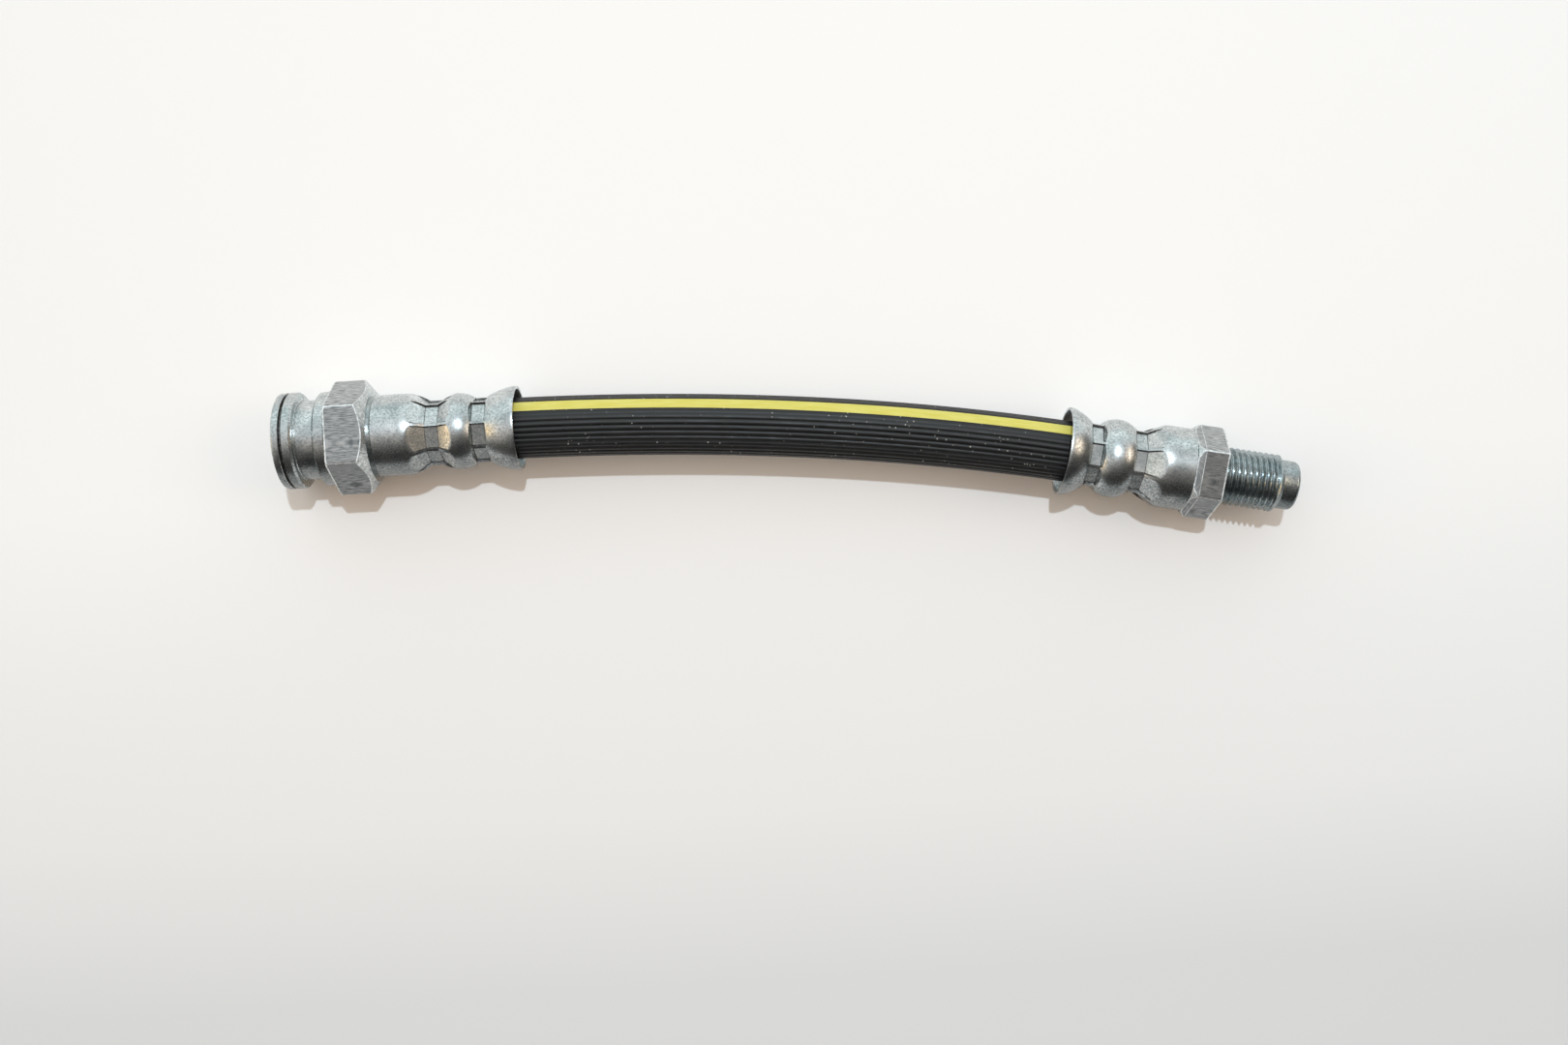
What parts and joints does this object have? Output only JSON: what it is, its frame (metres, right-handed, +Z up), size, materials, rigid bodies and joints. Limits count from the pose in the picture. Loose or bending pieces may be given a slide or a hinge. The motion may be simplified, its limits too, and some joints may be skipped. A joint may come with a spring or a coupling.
{
  "type": "brake hose",
  "caption": "Short braided rubber brake hose with crimped steel end fittings: a hexagon with a clip neck and a threaded port at one end, a hexagon with a threaded stem at the other.",
  "frame": {"origin": "on the lower flat of the female fitting's hexagon, below the middle of the hexagon, on the surface the hose lies on", "axes": "+Z up, away from the surface; +X along the female fitting from its port towards the hose; the hose bends towards -Y"},
  "size_m": [0.1736, 0.0325, 0.017],
  "materials": {
    "zinc_plated_steel": "bright blue-white zinc plate, semi-gloss",
    "cover_rubber": "black ribbed rubber with a yellow line",
    "inner_rubber": "smooth black rubber",
    "braid_yarn": "pale textile braid"
  },
  "bodies": {
    "root": {"female_fitting": "zinc_plated_steel", "male_fitting": "zinc_plated_steel", "inner_tube": "inner_rubber", "inner_braid": "braid_yarn", "cushion_layer": "inner_rubber", "outer_braid": "braid_yarn", "hose_cover": "cover_rubber"}
  },
  "joints": []
}
